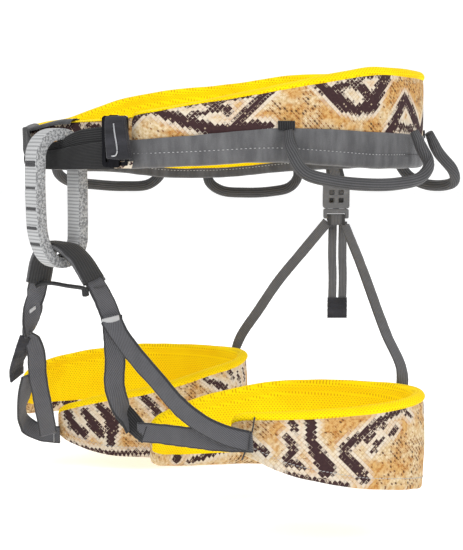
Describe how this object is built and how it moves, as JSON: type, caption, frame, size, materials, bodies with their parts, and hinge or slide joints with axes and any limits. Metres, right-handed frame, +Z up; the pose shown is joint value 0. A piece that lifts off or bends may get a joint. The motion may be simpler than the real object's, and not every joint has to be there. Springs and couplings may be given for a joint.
{
  "type": "climbing harness",
  "caption": "Sit harness for climbing: padded waist belt and leg loops joined by webbing, with belay loop, gear loops and a rear release buckle.",
  "frame": {"origin": "middle of the waist opening, at the height of the belt's webbing", "axes": "-X towards the wearer's front, +X towards the back, -Y towards the wearer's left, +Z up"},
  "size_m": [0.3877, 0.3527, 0.3296],
  "materials": {
    "printed_fabric": "woven printed with a scale pattern",
    "foam": "closed cell",
    "yellow_mesh": "perforated mesh",
    "grey_fabric": "plain woven",
    "black_webbing": "ribbed nylon webbing",
    "grey_webbing": "woven nylon webbing",
    "light_webbing": "woven nylon webbing",
    "thread": "bar tack thread",
    "buckle_metal": "satin",
    "grey_plastic": "moulded",
    "cord_sleeve": "ribbed sleeve over cord"
  },
  "bodies": {
    "waist_belt": {"waist_shell": "printed_fabric", "waist_foam": "foam", "waist_lining": "yellow_mesh", "waist_band": "grey_fabric", "waist_binding": "grey_fabric", "waist_webbing": "black_webbing", "webbing_tail": "black_webbing", "buckle_frame": "buckle_metal", "bridge_webbing": "grey_webbing", "bridge_sleeve": "black_webbing", "bridge_elastic": "black_webbing", "gear_loop_tabs": "black_webbing", "rear_buckle_plug": "grey_plastic"},
    "belay_loop_body": {"belay_loop": "light_webbing", "belay_loop_tacks": "thread"},
    "waist_buckle_slider": {"buckle_slider": "buckle_metal"},
    "waist_buckle_cover": {"buckle_cover": "black_webbing"},
    "left_leg_loop": {"leg_left_shell": "printed_fabric", "leg_left_foam": "foam", "leg_left_lining": "yellow_mesh", "strap_left_front": "grey_webbing", "strap_left_hem": "grey_webbing", "strap_left_side": "grey_webbing", "riser_left": "grey_webbing"},
    "right_leg_loop": {"leg_right_shell": "printed_fabric", "leg_right_foam": "foam", "leg_right_lining": "yellow_mesh", "strap_right_side": "grey_webbing", "strap_right_front": "grey_webbing", "strap_right_hem": "grey_webbing", "riser_right": "grey_webbing"},
    "rear_buckle_socket_body": {"rear_buckle_socket": "grey_plastic", "rear_strap": "black_webbing"},
    "latch_arm_a": {"latch_arm_low_x": "grey_plastic"},
    "latch_arm_b": {"latch_arm_high_x": "grey_plastic"},
    "riser_tail_body": {"riser_tails": "grey_webbing", "tail_tab": "black_webbing"},
    "gear_loop_a": {"gear_loop_left_front": "cord_sleeve"},
    "gear_loop_b": {"gear_loop_left_rear": "cord_sleeve"},
    "gear_loop_c": {"gear_loop_right_front": "cord_sleeve"},
    "gear_loop_d": {"gear_loop_right_rear": "cord_sleeve"}
  },
  "joints": [
    {"name": "belay_loop_turn", "type": "hinge", "parent": "waist_belt", "child": "belay_loop_body", "pos_m": [-0.12, -0.083, -0.043], "axis": [0, 0, 1], "range_deg": [-10, 10], "stiffness_Nm_per_rad": 0.05},
    {"name": "gear_loop_left_front_lift", "type": "hinge", "parent": "waist_belt", "child": "gear_loop_a", "pos_m": [0.1442, -0.05989, 0.006], "axis": [-0.8617, -0.5074, 0], "range_deg": [0, 55], "stiffness_Nm_per_rad": 0.05},
    {"name": "gear_loop_left_rear_lift", "type": "hinge", "parent": "waist_belt", "child": "gear_loop_b", "pos_m": [0.14561, 0.05801, 0.004], "axis": [0.3459, -0.9381, 0.0175], "range_deg": [0, 55], "stiffness_Nm_per_rad": 0.05},
    {"name": "gear_loop_right_front_lift", "type": "hinge", "parent": "waist_belt", "child": "gear_loop_c", "pos_m": [-0.13319, 0.07241, 0.004], "axis": [0.8842, 0.4666, -0.0214], "range_deg": [0, 55], "stiffness_Nm_per_rad": 0.05},
    {"name": "gear_loop_right_rear_lift", "type": "hinge", "parent": "waist_belt", "child": "gear_loop_d", "pos_m": [-0.01426, 0.12135, 0.002], "axis": [0.9927, -0.1205, 0], "range_deg": [0, 55], "stiffness_Nm_per_rad": 0.05},
    {"name": "left_leg_swing", "type": "hinge", "parent": "waist_belt", "child": "left_leg_loop", "pos_m": [0, 0, -0.1], "axis": [0, 1, 0], "range_deg": [-10, 15], "stiffness_Nm_per_rad": 2, "deforming": ["strap_left_front", "strap_left_side", "riser_left"]},
    {"name": "right_leg_swing", "type": "hinge", "parent": "waist_belt", "child": "right_leg_loop", "pos_m": [0, 0, -0.1], "axis": [0, 1, 0], "range_deg": [-15, 10], "stiffness_Nm_per_rad": 2, "deforming": ["strap_right_front", "strap_right_side", "riser_right"]},
    {"name": "rear_buckle_release", "type": "slide", "parent": "waist_belt", "child": "rear_buckle_socket_body", "axis": [0, 0, 1], "range_m": [0, 0.012], "stiffness_N_per_m": 20, "deforming": ["rear_strap"]},
    {"name": "latch_press", "type": "hinge", "parent": "waist_belt", "child": "latch_arm_a", "pos_m": [0.0915, 0.095, -0.05935], "axis": [0, 1, 0], "range_deg": [0, 14]},
    {"name": "latch_press_far", "type": "hinge", "parent": "waist_belt", "child": "latch_arm_b", "pos_m": [0.1075, 0.095, -0.05935], "axis": [0, 1, 0], "range_deg": [-14, 0]},
    {"name": "riser_tail_swing", "type": "hinge", "parent": "waist_belt", "child": "riser_tail_body", "pos_m": [0.1017, 0.0995, -0.072], "axis": [1, 0, 0], "range_deg": [-25, 25], "stiffness_Nm_per_rad": 0.01},
    {"name": "waist_buckle_slide", "type": "slide", "parent": "waist_belt", "child": "waist_buckle_slider", "axis": [0.9405, -0.3398, 0], "range_m": [-0.002, 0.002], "stiffness_N_per_m": 20},
    {"name": "buckle_cover_slide", "type": "slide", "parent": "waist_belt", "child": "waist_buckle_cover", "axis": [0.9405, -0.3398, 0], "range_m": [-0.004, 0.004], "stiffness_N_per_m": 20}
  ],
  "couplings": [
    {"joint": "latch_press", "follows": "rear_buckle_release", "rad_per_m": 20.36},
    {"joint": "latch_press_far", "follows": "rear_buckle_release", "rad_per_m": -20.36}
  ]
}
